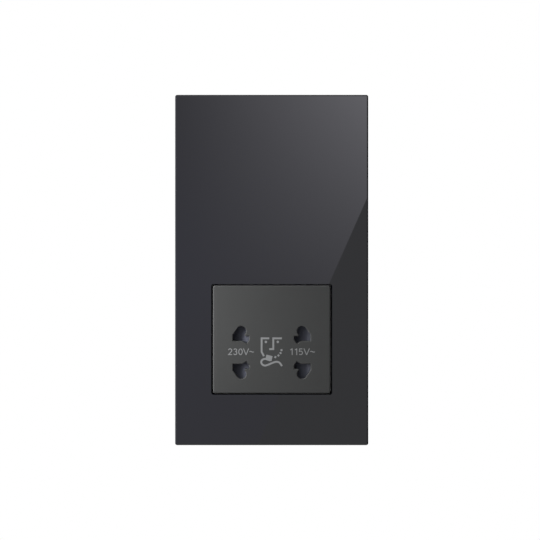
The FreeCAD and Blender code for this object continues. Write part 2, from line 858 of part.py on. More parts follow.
def make_circuit_board():
    board = centred_box(0, module_z, body_half_w - board_side_gap, body_half_h - board_end_gap,
                        base_back, board_back)
    board = board.makeChamfer(board_corner, edges_along_y(board))
    cuts = [rod(x, z, board_screw_r + board_screw_gap, base_back, board_back)
            for x, z in board_screw_places()]
    holes = []
    for sign in sides.values():
        for up in (-1, 1):
            holes.append((sign * pair_x, pair_z + up * chamber_rise, pin_half_thickness, contact_tail / 2))
        for step in (-1, 0, 1):
            holes.append((sign * pair_x + step * pin_pitch, switch_z, pin_half_width, pin_half_thickness))
        holes.append((sign * terminal_pitch / 2, terminal_z, terminal_tail_half, terminal_tail_reach))
    holes += [(x, lead_board_z, lead_r, lead_r) for x in lead_places]
    for x, z, half_w, half_h in holes:
        cuts.append(centred_box(x, z, half_w + pin_hole_gap, half_h + pin_hole_gap, base_back, board_back))
    return board.cut(Part.makeCompound(cuts))


def make_base_screws():
    screws = []
    for x, z in board_screw_places():
        screw = hex_screw(x, z, 0, board_head_half, board_head_height, board_screw_r, board_screw_length)
        screw.rotate(Vector(x, 0, z), Vector(0, 0, 1), 180)
        screw.translate(Vector(0, board_back, 0))
        screws.append(screw)
    return Part.makeCompound(screws)


def make_thermal_cutout():
    body = centred_box(0, module_top - cutout_inset, cutout_length / 2, cutout_width / 2, board_back,
                       board_back + cutout_height)
    return body.makeChamfer(cutout_corner, edges_at(body, board_back + cutout_height))


# Mains terminals

def make_terminal_block():
    back = board_back + block_depth
    block = centred_box(0, terminal_z, block_half_w, block_height / 2, board_back, back)
    block = block.makeChamfer(block_corner, edges_along_y(block))
    cuts = [centred_box(0, terminal_z, block_half_w - block_lip, block_height / 2 - block_lip,
                        board_back, board_back + block_recess),
            centred_box(0, terminal_z, barrier_half, block_height / 2, back - barrier_depth, back)]
    entry = wire_half + wire_entry_gap
    for sign in sides.values():
        x = sign * terminal_pitch / 2
        cuts.append(centred_box(x, terminal_z, terminal_width / 2 + terminal_gap,
                                terminal_height / 2 + terminal_gap, board_back,
                                terminal_y + terminal_depth / 2 + terminal_gap))
        cuts.append(rod(x, terminal_z, terminal_screw_r + driver_gap, terminal_y, back))
        cuts.append(box(x - entry, x + entry, terminal_y - entry, terminal_y + entry,
                        terminal_z - block_height / 2, terminal_z))
    return block.cut(Part.makeCompound(cuts))


def make_terminal_clamps():
    front = terminal_y - terminal_depth / 2
    back = terminal_y + terminal_depth / 2
    clamps = []
    for sign in sides.values():
        x = sign * terminal_pitch / 2
        cage = centred_box(x, terminal_z, terminal_width / 2, terminal_height / 2, front, back)
        cage = cage.makeChamfer(terminal_corner, edges_along_y(cage))
        cage = cage.cut(centred_box(x, terminal_z, wire_half, terminal_height / 2,
                                    terminal_y - wire_half, terminal_y + wire_half))
        cage = cage.cut(rod(x, terminal_z, terminal_screw_r + fit_gap, terminal_y, back))
        clamps.append(cage.fuse(centred_box(x, terminal_z, terminal_tail_half, terminal_tail_reach,
                                            base_back + pin_hole_gap, front)))
    return Part.makeCompound(clamps)


def make_terminal_screws():
    top = board_back + block_depth - terminal_sink
    screws = []
    for sign in sides.values():
        x = sign * terminal_pitch / 2
        screw = rod(x, terminal_z, terminal_screw_r, terminal_y + wire_half, top)
        screws.append(screw.cut(centred_box(x, terminal_z, terminal_screw_r, terminal_slot_half,
                                            top - terminal_slot_depth, top)))
    return Part.makeCompound(screws)


# Transformer

def core_bolt_places():
    x = core_width / 2 - core_bolt_inset
    z = core_height / 2 - core_bolt_inset
    return [(sx * x, core_z + sz * z) for sx in (-1, 1) for sz in (-1, 1)]


def pierced(core):
    for x, z in core_bolt_places():
        core = core.cut(rod(x, z, core_bolt_r + core_hole_gap, stack_front, stack_back))
    return core


def make_core_e_stack():
    high = core_z + core_height / 2 - side_leg
    core = box(-core_width / 2, core_width / 2, stack_front, stack_back, core_low, high)
    window = box(core_leg / 2, core_width / 2 - side_leg, stack_front, stack_back, core_low + side_leg, high)
    return pierced(core.cut(window).cut(mirror_x(window)))


def make_core_i_stack():
    high = core_z + core_height / 2
    return pierced(box(-core_width / 2, core_width / 2, stack_front, stack_back, high - side_leg, high))


def make_core_bolts():
    bolts = []
    for x, z in core_bolt_places():
        bolts.append(hex_screw(x, z, stack_front, core_head_half, core_head_height, core_bolt_r,
                               housing_inner_depth - bolt_end_gap))
    return Part.makeCompound(bolts)


def coil_box(half_x, half_y, z0, z1):
    return box(-half_x, half_x, coil_y - half_y, coil_y + half_y, z0, z1)


def coil_ring(room, wall, z0, z1):
    outer = coil_box(tube_x + room, tube_y + room, z0, z1)
    outer = outer.makeChamfer(winding_room * winding_corner, edges_along_z(outer))
    inner = coil_box(tube_x + room - wall, tube_y + room - wall, z0, z1)
    if room > wall:
        inner = inner.makeChamfer(winding_room * winding_corner, edges_along_z(inner))
    return outer.cut(inner)


def make_coil_former():
    flange_levels = (coil_low, coil_middle, coil_high - former_flange)
    parts = [coil_box(tube_x, tube_y, coil_low, coil_high)]
    for z in flange_levels:
        parts.append(coil_box(flange_x, coil_half_depth, z, z + former_flange))
    parts.append(box(-flange_x, flange_x, stack_back + shelf_gap, coil_y + coil_half_depth,
                     shelf_low, coil_low + former_flange))
    bore = coil_box(tube_x - former_wall, tube_y - former_wall, coil_low, coil_high)
    return fused(parts).cut(bore)


def make_former_tags():
    tags = []
    for x in lead_places:
        tags.append(box(x - tag_width / 2, x + tag_width / 2, tag_y - tag_thickness / 2,
                        tag_y + tag_thickness / 2, tag_low, shelf_low))
    return Part.makeCompound(tags)


def make_coil_tape():
    return Part.makeCompound([coil_ring(winding_room + tape_thickness, tape_thickness, z0, z1)
                              for z0, z1 in (primary_levels, secondary_levels)])


def make_leads(places):
    leads = []
    for x in places:
        route = [Vector(x, tag_y, tag_low), Vector(x, tag_y, lead_low), Vector(x, lead_y, lead_low),
                 Vector(x, lead_y, lead_board_z), Vector(x, base_back, lead_board_z)]
        leads.append(swept_wire(rounded_path(route, lead_bend), lead_r, lead_sides, Vector(1, 0, 0)))
    return Part.makeCompound(leads)


def make_insulation_sheet():
    half = inner_half_w - sheet_gap
    top = zone_high - sheet_gap
    notch = 2 * boss_half + 2 * sheet_gap
    sheet = box(-half, half, frame_back, sheet_back, zone_low + sheet_gap, top)
    corner = box(half - notch, half, frame_back, sheet_back, top - notch, top)
    return sheet.cut(corner).cut(mirror_x(corner))


# Rear housing

def housing_screw_places():
    x = inner_half_w - boss_half
    top = zone_high - boss_half
    low = housing_low + housing_wall + boss_half
    return [(-x, top), (x, top), (-x, low), (x, low)]


def tub(z0, z1, depth):
    outer = rounded_slab(0, (z0 + z1) / 2, housing_half_w, (z1 - z0) / 2, frame_back, depth, housing_corner)
    return outer.makeChamfer(housing_bevel, edges_at(outer, depth))


def make_rear_housing():
    upper = tub(zone_low - housing_wall, housing_top, housing_depth)
    lower = tub(housing_low, 0, socket_zone_depth)
    shell = upper.fuse(lower).removeSplitter()
    shell = shell.cut(box(-inner_half_w, inner_half_w, frame_back, housing_inner_depth, zone_low, zone_high))
    shell = shell.cut(box(-inner_half_w, inner_half_w, frame_back, socket_floor,
                          housing_low + housing_wall, zone_low - housing_wall))
    parts = [shell]
    cuts = []
    for x, z in core_bolt_places():
        parts.append(centred_box(x, z, core_boss_half, core_boss_half, stack_back, housing_inner_depth))
        cuts.append(hexagon(x, z, core_bolt_r + fit_gap, stack_back,
                            housing_inner_depth - bolt_end_gap / 2))
    for x, z in housing_screw_places():
        floor = housing_inner_depth if z > 0 else socket_floor
        parts.append(centred_box(x, z, boss_half, boss_half, frame_back, floor))
        cuts.append(hexagon(x, z, housing_screw_r + fit_gap, frame_back, pilot_depth))
    rib_low = terminal_z + block_height / 2 + back_rib_gap
    for i in range(back_rib_count):
        x = housing_half_w * (2 * (i + 1) / (back_rib_count + 1) - 1)
        parts.append(box(x - back_rib_wall / 2, x + back_rib_wall / 2, socket_floor,
                         socket_zone_depth + back_rib_height, rib_low, zone_low - housing_wall))
    for i in range(vent_count):
        z = core_z + vent_pitch * (i - (vent_count - 1) / 2)
        vent = box(inner_half_w, housing_half_w, coil_y - vent_height / 2, coil_y + vent_height / 2,
                   z - vent_width / 2, z + vent_width / 2)
        cuts.append(vent)
        cuts.append(mirror_x(vent))
    cuts.append(centred_box(0, terminal_z, block_half_w + block_gap, block_height / 2 + block_gap,
                            socket_floor, socket_zone_depth))
    notch_half = lead_places[-1] + notch_side_gap
    cuts.append(box(-notch_half, notch_half, lead_y - notch_half_depth, lead_y + notch_half_depth,
                    zone_low - housing_wall, zone_low))
    return fused(parts).cut(Part.makeCompound(cuts))


def make_housing_screws():
    screws = []
    for x, z in housing_screw_places():
        screws.append(hex_screw(x, z, frame_front, housing_head_half, housing_head_height, housing_screw_r,
                                housing_screw_length + frame_front))
    return Part.makeCompound(screws)


def save(name, shape):
    solids = shape.Solids
    if not solids or not all(solid.isValid() for solid in solids):
        raise ValueError(name + " is not valid")
    part = solids[0] if len(solids) == 1 else Part.makeCompound(solids)
    part.exportStep("parts/" + name + ".step")
    print(name, len(solids), round(part.Volume, 1))


def main():
    os.makedirs("parts", exist_ok=True)
    save("glass_plate", make_glass_plate())
    save("bonding_pads", make_bonding_pads())
    save("plate_carrier", make_plate_carrier())
    save("support_frame", make_support_frame())
    save("fixing_screws", make_fixing_screws())
    save("screw_retainers", make_screw_retainers())
    save("earth_clamp", make_earth_clamp())
    save("earth_screw", make_earth_screw())
    save("socket_fascia", make_socket_fascia())
    save("socket_base", make_socket_base())
    for name, sign in sides.items():
        save("shutter_" + name, make_shutter(sign))
        save("shutter_spring_" + name, make_shutter_spring(sign))
        save("contact_" + name, make_contact(sign))
        save("switch_body_" + name, make_switch_body(sign))
        save("switch_plunger_" + name, make_switch_plunger(sign))
    save("contact_common", make_contact_common())
    save("circuit_board", make_circuit_board())
    save("base_screws", make_base_screws())
    save("thermal_cutout", make_thermal_cutout())
    save("terminal_block", make_terminal_block())
    save("terminal_clamps", make_terminal_clamps())
    save("terminal_screws", make_terminal_screws())
    save("core_e_stack", make_core_e_stack())
    save("core_i_stack", make_core_i_stack())
    save("core_bolts", make_core_bolts())
    save("coil_former", make_coil_former())
    save("former_tags", make_former_tags())
    save("primary_winding", coil_ring(winding_room, winding_room, *primary_levels))
    save("secondary_winding", coil_ring(winding_room, winding_room, *secondary_levels))
    save("coil_tape", make_coil_tape())
    save("primary_leads", make_leads(lead_places[:2]))
    save("secondary_leads", make_leads(lead_places[2:]))
    save("insulation_sheet", make_insulation_sheet())
    save("rear_housing", make_rear_housing())
    save("housing_screws", make_housing_screws())


main()
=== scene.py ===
import json
import math
import bpy
import numpy as np
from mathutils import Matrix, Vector


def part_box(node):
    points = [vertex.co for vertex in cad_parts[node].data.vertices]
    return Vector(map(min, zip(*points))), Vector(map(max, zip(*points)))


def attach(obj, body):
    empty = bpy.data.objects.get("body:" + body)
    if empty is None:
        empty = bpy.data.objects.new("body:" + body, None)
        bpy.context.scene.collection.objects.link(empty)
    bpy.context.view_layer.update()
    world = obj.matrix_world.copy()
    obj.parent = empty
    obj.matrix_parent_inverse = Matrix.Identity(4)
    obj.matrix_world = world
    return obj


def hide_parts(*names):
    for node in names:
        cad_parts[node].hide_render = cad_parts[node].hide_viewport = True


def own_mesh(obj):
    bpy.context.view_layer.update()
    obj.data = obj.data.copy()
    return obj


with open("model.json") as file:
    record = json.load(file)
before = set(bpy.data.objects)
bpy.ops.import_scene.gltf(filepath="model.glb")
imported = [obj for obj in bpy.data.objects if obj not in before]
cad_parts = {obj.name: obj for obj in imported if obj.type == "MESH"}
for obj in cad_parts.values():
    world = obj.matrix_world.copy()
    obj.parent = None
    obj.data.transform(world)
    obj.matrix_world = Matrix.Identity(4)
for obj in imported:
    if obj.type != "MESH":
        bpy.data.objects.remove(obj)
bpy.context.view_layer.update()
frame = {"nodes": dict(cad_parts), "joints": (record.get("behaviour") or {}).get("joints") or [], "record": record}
nodes = frame["nodes"]
mm = 0.001
print("frame:", len(nodes), "nodes")

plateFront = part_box("glass_plate")[0].y
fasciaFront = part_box("socket_fascia")[0].y


class Link:
    # Wraps one output socket. Arithmetic on it adds Math nodes, and node() adds any other node.
    def __init__(self, tree, socket=None):
        self.tree = tree
        self.socket = socket

    def node(self, kind, settings=None, sockets=None, output=0):
        made = self.tree.nodes.new(kind)
        for name, value in (settings or {}).items():
            setattr(made, name, value)
        for name, value in (sockets or {}).items():
            if isinstance(value, Link):
                self.tree.links.new(value.socket, made.inputs[name])
            else:
                made.inputs[name].default_value = value
        return Link(self.tree, made.outputs[output] if made.outputs else None)

    def maths(self, operation, other=0.0):
        # An operation of one value leaves other alone, and MAXIMUM without it cuts off below 0.
        return self.node("ShaderNodeMath", {"operation": operation}, {0: self, 1: other})

    def __add__(self, other):
        return self.maths("ADD", other)

    __radd__ = __add__

    def __sub__(self, other):
        return self.maths("SUBTRACT", other)

    def __rsub__(self, other):
        return self.node("ShaderNodeMath", {"operation": "SUBTRACT"}, {0: other, 1: self})

    def __mul__(self, other):
        return self.maths("MULTIPLY", other)

    __rmul__ = __mul__

    def __truediv__(self, other):
        return self.maths("DIVIDE", other)

    def __pow__(self, other):
        return self.maths("POWER", other)


class Finish:
    # One material: constants go on the shader's own sockets, varying things are linked with feed().
    def __init__(self, name, constants):
        self.material = bpy.data.materials.new(name)
        self.material.use_nodes = True
        tree = self.material.node_tree
        self.shader = tree.nodes["Principled BSDF"]
        for label, value in constants.items():
            self.shader.inputs[label].default_value = value
        self.start = Link(tree)
        self.place = self.start.node("ShaderNodeTexCoord", output="Object")

    def feed(self, label, link):
        self.start.tree.links.new(link.socket, self.shader.inputs[label])

    def stretched(self, scale):
        return self.start.node("ShaderNodeMapping", None, {"Vector": self.place, "Scale": scale})

    def noise(self, scale, detail=3.0, where=None, seed=0.0):
        # The seed is a place in the fourth dimension, so two noises of one finish don't match.
        settings = {"noise_dimensions": "4D"}
        return self.start.node("ShaderNodeTexNoise", settings, {
            "Vector": where or self.place, "Scale": scale, "Detail": detail, "W": seed})

    def blend(self, factor, low, high):
        # Inputs 0, 6 and 7 of a Mix node are the factor and the two colours, and output 2 is the colour.
        settings = {"data_type": "RGBA"}
        return self.start.node("ShaderNodeMix", settings, {0: factor, 6: (*low, 1.0), 7: (*high, 1.0)},
                               output=2)

    def bump(self, height, distance):
        normal = self.start.node("ShaderNodeBump", None, {"Height": height, "Distance": distance})
        self.feed("Normal", normal)

    def along(self, axis):
        return self.start.node("ShaderNodeSeparateXYZ", None, {"Vector": self.place}, output=axis)

    def ridges(self, axis, pitch):
        # Round ridges along an axis: with f the fraction of the place over the pitch, 4 f (1 - f).
        part = (self.along(axis) / pitch).maths("FRACT")
        return 4.0 * part * (1.0 - part)


# Glass

glassLook = {"low": (0.0010, 0.0014, 0.0040), "high": (0.0016, 0.0020, 0.0050), "cloud": 18.0,
             "rough": 0.003, "smudge": 0.006, "smudgeScale": 60.0}


def blackGlass():
    # Near-black lacquer seen through clear glass. Roughness is almost nothing plus a little noise.
    look = glassLook
    finish = Finish("blackGlass", {"IOR": 1.43})
    cloud = finish.noise(look["cloud"], detail=2.0)
    smudge = finish.noise(look["smudgeScale"], detail=4.0, seed=3.0)
    finish.feed("Base Color", finish.blend(cloud, look["low"], look["high"]))
    finish.feed("Roughness", look["rough"] + smudge * look["smudge"])
    return finish.material


# Mouldings

mouldingLook = {
    "fasciaMoulding": {"low": (0.048, 0.049, 0.049), "high": (0.052, 0.053, 0.053), "rough": 0.36,
                       "grain": 5200.0, "depth": 0.00001,
                       "shine": {"IOR": 1.46, "Specular IOR Level": 0.03}},
    "carrierMoulding": {"low": (0.010, 0.010, 0.011), "high": (0.014, 0.014, 0.015), "rough": 0.5,
                        "grain": 3600.0, "depth": 0.00002,
                        "shine": {"IOR": 1.46, "Specular IOR Level": 0.2}},
    "baseMoulding": {"low": (0.014, 0.014, 0.016), "high": (0.020, 0.020, 0.022), "rough": 0.42,
                     "grain": 3000.0, "depth": 0.00002,
                     "shine": {"IOR": 1.46, "Specular IOR Level": 0.2}},
    "shutterMoulding": {"low": (0.140, 0.148, 0.190), "high": (0.155, 0.163, 0.208), "rough": 0.34,
                        "grain": 4000.0, "depth": 0.00001, "shine": {"IOR": 1.46}},
    "plungerMoulding": {"low": (0.42, 0.040, 0.030), "high": (0.50, 0.055, 0.040), "rough": 0.35,
                        "grain": 4000.0, "depth": 0.00001, "shine": {"IOR": 1.46}},
    "housingMoulding": {"low": (0.50, 0.50, 0.48), "high": (0.56, 0.56, 0.54), "rough": 0.46,
                        "grain": 2200.0, "depth": 0.00003, "shine": {"IOR": 1.46}},
    "naturalNylon": {"low": (0.72, 0.70, 0.62), "high": (0.80, 0.78, 0.71), "rough": 0.34,
                     "grain": 1800.0, "depth": 0.00001,
                     "shine": {"IOR": 1.53, "Subsurface Weight": 0.15, "Subsurface Scale": 0.001}},
}
mouldingDrift = {"cloud": 90.0, "roughSpan": 0.12}


def moulding(name):
    # Two shades blended by a broad noise; fine spark-eroded grain as bump and as roughness.
    look = mouldingLook[name]
    finish = Finish(name, look["shine"])
    cloud = finish.noise(mouldingDrift["cloud"])
    grain = finish.noise(look["grain"], detail=2.0, seed=1.0)
    finish.feed("Base Color", finish.blend(cloud, look["low"], look["high"]))
    finish.feed("Roughness", look["rough"] + grain * mouldingDrift["roughSpan"])
    finish.bump(grain, look["depth"])
    return finish.material


foamLook = {"low": (0.012, 0.012, 0.012), "high": (0.045, 0.045, 0.045), "cell": 2600.0, "rough": 0.8,
            "roughSpan": 0.15, "depth": 0.0001}


def foamTape():
    # Closed cells: the distance to the nearest cell centre gives dark pits, painted shade in the cells' hollows.
    look = foamLook
    finish = Finish("foamTape", {"IOR": 1.4})
    cells = finish.start.node("ShaderNodeTexVoronoi", None, {"Vector": finish.place, "Scale": look["cell"]})
    finish.feed("Base Color", finish.blend(cells, look["low"], look["high"]))
    finish.feed("Roughness", look["rough"] + cells * look["roughSpan"])
    finish.bump(cells, look["depth"])
    return finish.material


insulationLook = {
    "brownInsulation": {"low": (0.16, 0.06, 0.03), "high": (0.20, 0.08, 0.04)},
    "blackInsulation": {"low": (0.012, 0.012, 0.012), "high": (0.02, 0.02, 0.02)},
}
insulationDrift = {"cloud": 300.0, "grain": 2000.0, "rough": 0.3, "roughSpan": 0.1}


def insulation(name):
    # Extruded sleeve: two shades blended by one noise, and a finer one in the roughness.
    look = insulationLook[name]
    drift = insulationDrift
    finish = Finish(name, {"IOR": 1.5})
    finish.feed("Base Color", finish.blend(finish.noise(drift["cloud"]), look["low"], look["high"]))
    finish.feed("Roughness", drift["rough"] + finish.noise(drift["grain"], seed=2.0) * drift["roughSpan"])
    return finish.material


# Metals

platingLook = {
    "zincPlate": {"low": (0.30, 0.31, 0.32), "high": (0.42, 0.41, 0.38), "rough": 0.5,
                  "scratch": (3000.0, 3000.0, 120.0)},
    "brightPlate": {"low": (0.44, 0.44, 0.45), "high": (0.56, 0.56, 0.56), "rough": 0.20,
                    "scratch": (2600.0, 2600.0, 2600.0)},
    "turnedBrass": {"low": (0.68, 0.50, 0.24), "high": (0.78, 0.60, 0.30), "rough": 0.20,
                    "scratch": (400.0, 4000.0, 400.0)},
    "stripBronze": {"low": (0.62, 0.40, 0.24), "high": (0.72, 0.50, 0.32), "rough": 0.22,
                    "scratch": (200.0, 3600.0, 3600.0)},
}
platingDrift = {"cloud": 55.0, "cloudSpan": 0.08, "markSpan": 0.16, "depth": 0.00001}


def plated(name):
    # Plating drifts between two tints; long thin noise gives the rolling or turning marks.
    look = platingLook[name]
    drift = platingDrift
    finish = Finish(name, {"Metallic": 1.0})
    cloud = finish.noise(drift["cloud"], detail=4.0)
    marks = finish.noise(1.0, detail=2.0, where=finish.stretched(look["scratch"]), seed=5.0)
    finish.feed("Base Color", finish.blend(cloud, look["low"], look["high"]))
    finish.feed("Roughness", look["rough"] + marks * drift["markSpan"] + cloud * drift["cloudSpan"])
    finish.bump(marks, drift["depth"])
    return finish.material


laminationLook = {"sheet": 0.0005, "varnish": (0.10, 0.085, 0.07), "steel": (0.24, 0.24, 0.25),
                  "rough": 0.5, "roughSpan": 0.12, "metal": 0.7, "depth": 0.00008}


def laminations():
    # Ridges across the stack, one to a sheet, darkest at each joint.
    look = laminationLook
    finish = Finish("laminations", {"IOR": 1.5})
    ridge = finish.ridges("Y", look["sheet"])
    finish.feed("Base Color", finish.blend(ridge, look["varnish"], look["steel"]))
    finish.feed("Roughness", look["rough"] - ridge * look["roughSpan"])
    finish.feed("Metallic", ridge * look["metal"])
    finish.bump(ridge, look["depth"])
    return finish.material


windingLook = {"wire": 0.00032, "dark": (0.20, 0.06, 0.03), "bright": (0.72, 0.34, 0.18), "rough": 0.22,
               "smear": 800.0, "roughSpan": 0.12, "depth": 0.0001}


def enamelledCopper():
    # Turns lie one above the other, as ridges a wire's diameter apart. The colour darkens towards the
    # groove between turns: painted shade in the crease.
    look = windingLook
    finish = Finish("enamelledCopper", {"Metallic": 0.9, "IOR": 1.5})
    ridge = finish.ridges("Z", look["wire"])
    finish.feed("Base Color", finish.blend(ridge, look["dark"], look["bright"]))
    finish.feed("Roughness", look["rough"] + finish.noise(look["smear"]) * look["roughSpan"])
    finish.bump(ridge, look["depth"])
    return finish.material


# Film, board and ink

filmLook = {"low": (0.66, 0.50, 0.10), "high": (0.76, 0.60, 0.16), "cloud": 60.0, "grain": 500.0,
            "rough": 0.2, "roughSpan": 0.1}


def polyesterFilm():
    # Amber film under a thin gloss: a broad noise in its colour and a finer one in its roughness.
    look = filmLook
    finish = Finish("polyesterFilm", {"IOR": 1.6, "Coat Weight": 0.3, "Coat Roughness": 0.1})
    finish.feed("Base Color", finish.blend(finish.noise(look["cloud"]), look["low"], look["high"]))
    finish.feed("Roughness", look["rough"] + finish.noise(look["grain"], seed=4.0) * look["roughSpan"])
    return finish.material


boardLook = {"low": (0.020, 0.12, 0.045), "high": (0.030, 0.17, 0.065), "weave": 5200.0, "rough": 0.24,
             "roughSpan": 0.06}


def resistBoard():
    # Green resist with a woven ground: two crossed sine waves under the surface.
    look = boardLook
    finish = Finish("resistBoard", {"IOR": 1.5})
    across = (finish.along("X") * look["weave"]).maths("SINE")
    upward = (finish.along("Z") * look["weave"]).maths("SINE")
    weave = across * upward * 0.5 + 0.5
    finish.feed("Base Color", finish.blend(weave, look["low"], look["high"]))
    finish.feed("Roughness", look["rough"] + weave * look["roughSpan"])
    return finish.material


inkLook = {"low": (0.185, 0.19, 0.194), "high": (0.22, 0.225, 0.23), "grain": 6000.0, "rough": 0.45,
           "roughSpan": 0.1}


def printInk():
    # Pale grey pad print, a little broken up at its own fine grain.
    look = inkLook
    finish = Finish("printInk", {"IOR": 1.45})
    grain = finish.noise(look["grain"], detail=2.0)
    finish.feed("Base Color", finish.blend(grain, look["low"], look["high"]))
    finish.feed("Roughness", look["rough"] + grain * look["roughSpan"])
    return finish.material


finishes = {
    "black_glass": blackGlass(),
    "foam": foamTape(),
    "black_moulding": moulding("carrierMoulding"),
    "zinc_steel": plated("zincPlate"),
    "bright_steel": plated("brightPlate"),
    "clear_nylon": moulding("naturalNylon"),
    "brass": plated("turnedBrass"),
    "grey_moulding": moulding("fasciaMoulding"),
    "dark_moulding": moulding("baseMoulding"),
    "shutter_moulding": moulding("shutterMoulding"),
    "bronze": plated("stripBronze"),
    "red_moulding": moulding("plungerMoulding"),
    "board": resistBoard(),
    "core_steel": laminations(),
    "copper": enamelledCopper(),
    "tape": polyesterFilm(),
    "brown_insulation": insulation("brownInsulation"),
    "black_insulation": insulation("blackInsulation"),
    "housing_moulding": moulding("housingMoulding"),
}
for part in frame["record"]["subparts"]:
    body = nodes[part["node"]].data
    body.materials.clear()
    body.materials.append(finishes[part["material_slot"]])
# The heads of the housing's screws lie under the gap round the module: they get the duller, darker plating, which
# also stands in as painted shade to keep the gap dark.
nodes["housing_screws"].data.materials[0] = finishes["zinc_steel"]
print("finishes:", len(finishes))


# Print on the fascia

def meshPiece(name, vertices, faces, material):
    # Every new piece belongs to a part that doesn't move, so it rides on the root.
    mesh = bpy.data.meshes.new(name)
    mesh.from_pydata(vertices.tolist(), [], faces)
    mesh.materials.append(material)
    mesh.update()
    piece = bpy.data.objects.new(name, mesh)
    bpy.context.scene.collection.objects.link(piece)
    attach(piece, "root")
    return piece


printDepth = {"proud": 0.01 * mm, "sunk": 0.03 * mm, "step": 0.001 * mm}
ink = printInk()


def inkSlabs(name, outlines, centre):
    # Each outline is a closed loop of (x, z) in mm; it becomes a thin slab on the fascia's face, and
    # stands a step further out than the one before, so that no two faces share a plane.
    vertices = []
    faces = []
    for layer, outline in enumerate(outlines):
        loop = np.asarray(outline, float)
        turned = np.roll(loop, -1, axis=0)
        if (loop[:, 0] * turned[:, 1] - turned[:, 0] * loop[:, 1]).sum() < 0:
            loop = loop[::-1]
        count = len(loop)
        base = sum(len(block) for block in vertices)
        front = fasciaFront - printDepth["proud"] - layer * printDepth["step"]
        for y in (front, fasciaFront + printDepth["sunk"]):
            vertices.append(np.column_stack([loop[:, 0] * mm + centre[0], np.full(count, y),
                                             loop[:, 1] * mm + centre[1]]))
        ring = np.arange(count)
        after = np.roll(ring, -1)
        faces.append((base + ring).tolist())
        faces.append((base + count + ring[::-1]).tolist())
        faces.extend((base + np.column_stack([ring, ring + count, after + count, after])).tolist())
    return meshPiece(name, np.vstack(vertices), faces, ink)


def strokeOutline(points, width):
    # Both sides of a line: every point moves sideways by half the width, and corners are mitred.
    path = np.asarray(points, float)
    along = np.diff(path, axis=0)
    along /= np.linalg.norm(along, axis=1)[:, None]
    sideways = np.column_stack([-along[:, 1], along[:, 0]])
    mitre = np.vstack([sideways[:1], sideways]) + np.vstack([sideways, sideways[-1:]])
    mitre *= (width / (mitre ** 2).sum(axis=1))[:, None]
    return np.vstack([path + mitre, (path - mitre)[::-1]])


def smoothPath(points, steps):
    # Cubic through the points: each stretch leans on its neighbours, with t running from 0 to 1.
    path = np.asarray(points, float)
    path = np.vstack([2 * path[0] - path[1], path, 2 * path[-1] - path[-2]])
    t = np.linspace(0, 1, steps, endpoint=False)[None, :, None]
    a, b, c, d = (path[i:len(path) - 3 + i, None, :] for i in range(4))
    curve = b + 0.5 * t * (c - a + t * (2 * a - 5 * b + 4 * c - d + t * (3 * b - a - 3 * c + d)))
    return np.vstack([curve.reshape(-1, 2), path[-2:-1]])


def discOutline(centre, radius, steps=20):
    # A circle: the centre plus the radius times the turn's cosine and sine.
    turn = np.linspace(0, 2 * math.pi, steps, endpoint=False)
    return np.column_stack([centre[0] + radius * np.cos(turn), centre[1] + radius * np.sin(turn)])


def squareOutline(centre, size, turn):
    # Four corners, each half a diagonal from the centre and a quarter turn from the last.
    corner = np.radians(turn + 45 + 90 * np.arange(4))
    reach = size / math.sqrt(2)
    return np.column_stack([centre[0] + reach * np.cos(corner), centre[1] + reach * np.sin(corner)])


shaverSign = {
    "centre": (-0.1 * mm, -36.51 * mm),
    "stroke": 0.82,
    "brow": [(-1.0, 6.1), (-4.4, 6.1), (-4.4, 0.1), (-3.35, -1.85)],
    "nose": [(4.6, 6.1), (0.8, 6.1), (0.8, 1.3), (-1.0, 1.3)],
    "eyes": [(-2.5, 4.5), (2.8, 4.5)],
    "eyeRadius": 0.55,
    "jaw": [(4.45, 0.85), (4.02, -0.45), (3.1, -1.55), (1.73, -2.25)],
    "jawTurn": (0, 20, 40, 65),
    "jawSize": 0.85,
    "block": [(-2.25, -1.15), (0.55, -1.85), (-0.05, -4.1), (-2.75, -3.3)],
    "leadSteps": 8,
    "lead": [(-0.5, -3.75), (-1.7, -3.35), (-2.9, -3.05), (-4.05, -3.45), (-4.55, -4.4), (-4.1, -5.5),
             (-2.7, -6.0), (-0.2, -5.1), (1.3, -4.5), (2.5, -4.35), (3.6, -4.8), (4.7, -6.25)],
}


def makeShaverSign():
    # Brow, nose and lead are lines of one width; the block, the eyes and the jaw's squares are filled.
    look = shaverSign
    lead = smoothPath(look["lead"], look["leadSteps"])
    outlines = [strokeOutline(line, look["stroke"]) for line in (look["brow"], look["nose"], lead)]
    outlines.append(look["block"])
    outlines += [discOutline(eye, look["eyeRadius"]) for eye in look["eyes"]]
    outlines += [squareOutline(spot, look["jawSize"], turn)
                 for spot, turn in zip(look["jaw"], look["jawTurn"])]
    return inkSlabs("shaver_sign", outlines, look["centre"])


def arc(centre, reach, start, end, steps=14):
    # Part of an ellipse, from the angle start to the angle end in degrees.
    turn = np.radians(np.linspace(start, end, steps))
    return np.column_stack([centre[0] + reach[0] * np.cos(turn), centre[1] + reach[1] * np.sin(turn)])


def wave(start, end, level, height, steps=16):
    # One whole sine from the start to the end, its height above and below a level.
    x = np.linspace(start, end, steps)
    return np.column_stack([x, level + height * np.sin(2 * math.pi * (x - start) / (end - start))])


